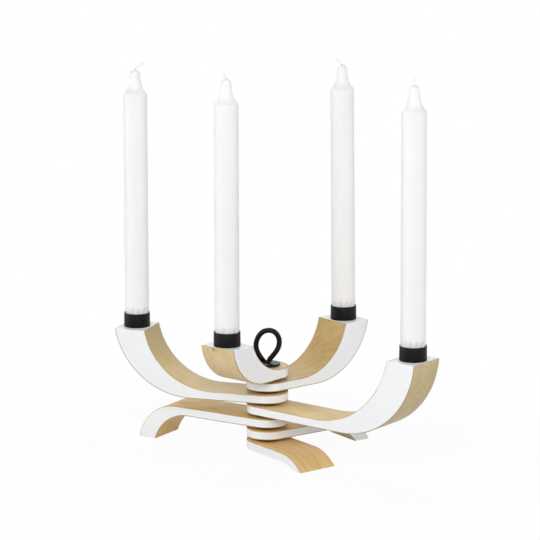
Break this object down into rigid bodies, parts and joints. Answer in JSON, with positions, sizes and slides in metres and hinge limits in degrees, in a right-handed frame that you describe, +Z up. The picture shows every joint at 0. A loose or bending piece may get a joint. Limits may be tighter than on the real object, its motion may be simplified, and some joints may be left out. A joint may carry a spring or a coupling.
{
  "type": "candelabra",
  "caption": "Table candelabra whose curved wooden candle arms and legs swivel on a central tie bolt, with black cups, tall candles and a thumb loop on top.",
  "frame": {"origin": "middle of the bounding box on the table top that the feet stand on; the tie bolt stands at x -4.32 mm, y +19.28 mm", "axes": "+Z up along the tie bolt; -Y towards the picture's viewer; +X to that viewer's right"},
  "size_m": [0.2844, 0.206, 0.349],
  "materials": {
    "white_lacquer": "satin white lacquer on the edges of laminated wood",
    "birch_veneer": "clear satin lacquer on birch veneer, grain along the board",
    "black_steel": "matt black powder coat",
    "black_nylon": "matt black moulded plastic",
    "plated_steel": "zinc plated steel",
    "candle_wax": "smooth white candle wax",
    "cotton_wick": "waxed cotton cord"
  },
  "bodies": {
    "leg_3": {"leg_3_lower_veneer": "birch_veneer", "leg_3_core": "white_lacquer", "leg_3_upper_veneer": "birch_veneer", "spacer_1": "black_nylon", "captive_nut": "plated_steel"},
    "leg_2": {"leg_2_lower_veneer": "birch_veneer", "leg_2_core": "white_lacquer", "leg_2_upper_veneer": "birch_veneer", "spacer_2": "black_nylon"},
    "leg_1": {"leg_1_lower_veneer": "birch_veneer", "leg_1_core": "white_lacquer", "leg_1_upper_veneer": "birch_veneer", "spacer_3": "black_nylon"},
    "arm_d": {"arm_d_lower_veneer": "birch_veneer", "arm_d_core": "white_lacquer", "arm_d_upper_veneer": "birch_veneer", "cup_d": "black_steel", "cup_screw_d": "plated_steel", "spacer_4": "black_nylon"},
    "arm_c": {"arm_c_lower_veneer": "birch_veneer", "arm_c_core": "white_lacquer", "arm_c_upper_veneer": "birch_veneer", "cup_c": "black_steel", "cup_screw_c": "plated_steel", "spacer_5": "black_nylon"},
    "arm_b": {"arm_b_lower_veneer": "birch_veneer", "arm_b_core": "white_lacquer", "arm_b_upper_veneer": "birch_veneer", "cup_b": "black_steel", "cup_screw_b": "plated_steel", "spacer_6": "black_nylon"},
    "arm_a": {"arm_a_lower_veneer": "birch_veneer", "arm_a_core": "white_lacquer", "arm_a_upper_veneer": "birch_veneer", "cup_a": "black_steel", "cup_screw_a": "plated_steel", "loop_spacer": "black_nylon", "loop_washer": "black_steel"},
    "tie_bolt": {"tie_bolt_loop": "black_steel"},
    "candle_a": {"candle_a": "candle_wax", "wick_a": "cotton_wick"},
    "candle_b": {"candle_b": "candle_wax", "wick_b": "cotton_wick"},
    "candle_c": {"candle_c": "candle_wax", "wick_c": "cotton_wick"},
    "candle_d": {"candle_d": "candle_wax", "wick_d": "cotton_wick"}
  },
  "joints": [
    {"name": "leg_2_swivel", "type": "hinge", "parent": "leg_3", "child": "leg_2", "pos_m": [-0.00432, 0.01928, 0.0191], "axis": [0, 0, 1], "continuous": true},
    {"name": "leg_1_swivel", "type": "hinge", "parent": "leg_3", "child": "leg_1", "pos_m": [-0.00432, 0.01928, 0.0302], "axis": [0, 0, 1], "continuous": true},
    {"name": "arm_d_swivel", "type": "hinge", "parent": "leg_3", "child": "arm_d", "pos_m": [-0.00432, 0.01928, 0.0413], "axis": [0, 0, 1], "continuous": true},
    {"name": "arm_c_swivel", "type": "hinge", "parent": "leg_3", "child": "arm_c", "pos_m": [-0.00432, 0.01928, 0.0524], "axis": [0, 0, 1], "continuous": true},
    {"name": "arm_b_swivel", "type": "hinge", "parent": "leg_3", "child": "arm_b", "pos_m": [-0.00432, 0.01928, 0.0635], "axis": [0, 0, 1], "continuous": true},
    {"name": "arm_a_swivel", "type": "hinge", "parent": "leg_3", "child": "arm_a", "pos_m": [-0.00432, 0.01928, 0.0746], "axis": [0, 0, 1], "continuous": true},
    {"name": "tie_bolt_turn", "type": "hinge", "parent": "leg_3", "child": "tie_bolt", "pos_m": [-0.00432, 0.01928, 0.044], "axis": [0, 0, 1], "continuous": true},
    {"name": "candle_a_lift", "type": "slide", "parent": "arm_a", "child": "candle_a", "axis": [0, 0, 1], "range_m": [0, 0.011]},
    {"name": "candle_b_lift", "type": "slide", "parent": "arm_b", "child": "candle_b", "axis": [0, 0, 1], "range_m": [0, 0.011]},
    {"name": "candle_c_lift", "type": "slide", "parent": "arm_c", "child": "candle_c", "axis": [0, 0, 1], "range_m": [0, 0.011]},
    {"name": "candle_d_lift", "type": "slide", "parent": "arm_d", "child": "candle_d", "axis": [0, 0, 1], "range_m": [0, 0.011]}
  ]
}
